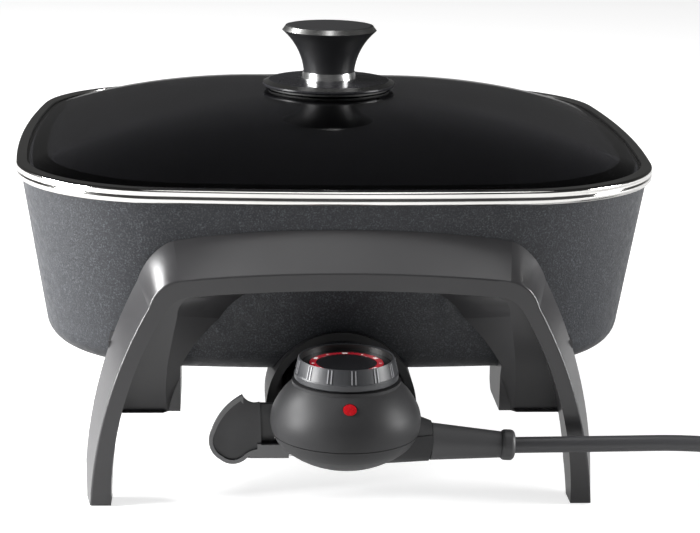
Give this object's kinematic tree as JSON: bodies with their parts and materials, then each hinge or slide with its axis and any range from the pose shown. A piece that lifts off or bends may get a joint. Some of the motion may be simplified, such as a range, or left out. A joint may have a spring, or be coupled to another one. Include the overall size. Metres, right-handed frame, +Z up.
{
  "type": "electric skillet",
  "caption": "Square deep electric frying pan on two arched handle frames, with a lift-off domed glass lid and a plug-in heat control with dial, eject lever and mains cord",
  "frame": {"origin": "bottom centre of the object's bounding box without the cord, on the surface that the four feet stand on", "axes": "+Z up, -Y towards the heat control at the front, +X towards the side where the cord leaves"},
  "size_m": [0.476, 0.392, 0.2006],
  "materials": {
    "pan_body": "speckled dark non-stick coating",
    "heating_element": "satin",
    "terminal_pins": "satin",
    "probe_socket": "satin",
    "probe_guard": "fine satin",
    "guard_screws": "satin",
    "front_frame": "satin moulded phenolic",
    "rear_frame": "satin moulded phenolic",
    "frame_washers": "satin",
    "frame_screws": "satin",
    "lid_glass": "clear tempered",
    "lid_band": "polished steel",
    "knob_gasket": "matte",
    "knob_base": "satin black with a bright bevel",
    "knob_collar": "bright brushed",
    "knob_body": "satin black",
    "knob_cap": "satin black",
    "knob_washer": "satin",
    "knob_screw": "satin",
    "control_shell_upper": "satin black",
    "control_shell_lower": "satin black",
    "contact_block": "moulded phenolic",
    "receptacle_contacts": "satin",
    "sensing_probe": "satin",
    "thermostat_switch": "ceramic",
    "pilot_lens": "clear red",
    "neon_lamp": "clear",
    "shell_screws": "satin",
    "lever_pin": "satin",
    "strain_relief": "satin",
    "power_cord": "satin",
    "cord_coil": "satin",
    "coil_tie": "matte",
    "plug_body": "satin",
    "plug_pins": "nickel plated",
    "dial_knob": "satin grey",
    "dial_face": "gloss black",
    "dial_scale_ring": "printed red",
    "dial_shaft": "satin",
    "eject_lever": "satin"
  },
  "bodies": {
    "base": {"pan_body": "pan_body", "heating_element": "heating_element", "terminal_pins": "terminal_pins", "probe_socket": "probe_socket", "probe_guard": "probe_guard", "guard_screws": "guard_screws", "front_frame": "front_frame", "rear_frame": "rear_frame", "frame_washers": "frame_washers", "frame_screws": "frame_screws"},
    "lid": {"lid_glass": "lid_glass", "lid_band": "lid_band", "knob_gasket": "knob_gasket", "knob_base": "knob_base", "knob_collar": "knob_collar", "knob_body": "knob_body", "knob_cap": "knob_cap", "knob_washer": "knob_washer", "knob_screw": "knob_screw"},
    "control": {"control_shell_upper": "control_shell_upper", "control_shell_lower": "control_shell_lower", "contact_block": "contact_block", "receptacle_contacts": "receptacle_contacts", "sensing_probe": "sensing_probe", "thermostat_switch": "thermostat_switch", "pilot_lens": "pilot_lens", "neon_lamp": "neon_lamp", "shell_screws": "shell_screws", "lever_pin": "lever_pin", "strain_relief": "strain_relief", "power_cord": "power_cord", "cord_coil": "cord_coil", "coil_tie": "coil_tie", "plug_body": "plug_body", "plug_pins": "plug_pins"},
    "dial": {"dial_knob": "dial_knob", "dial_face": "dial_face", "dial_scale_ring": "dial_scale_ring", "dial_shaft": "dial_shaft"},
    "lever": {"eject_lever": "eject_lever"}
  },
  "joints": [
    {"name": "lid_lift", "type": "slide", "parent": "base", "child": "lid", "axis": [0, 0, 1], "range_m": [0, 0.15]},
    {"name": "control_unplug", "type": "slide", "parent": "base", "child": "control", "axis": [0, -1, 0], "range_m": [0, 0.09]},
    {"name": "dial_turn", "type": "hinge", "parent": "control", "child": "dial", "pos_m": [0, -0.162, 0.07], "axis": [0, 0, 1], "range_deg": [-270, 0]},
    {"name": "lever_swing", "type": "hinge", "parent": "control", "child": "lever", "pos_m": [-0.025, -0.139, 0.026], "axis": [0, 0, 1], "range_deg": [0, 11]}
  ]
}
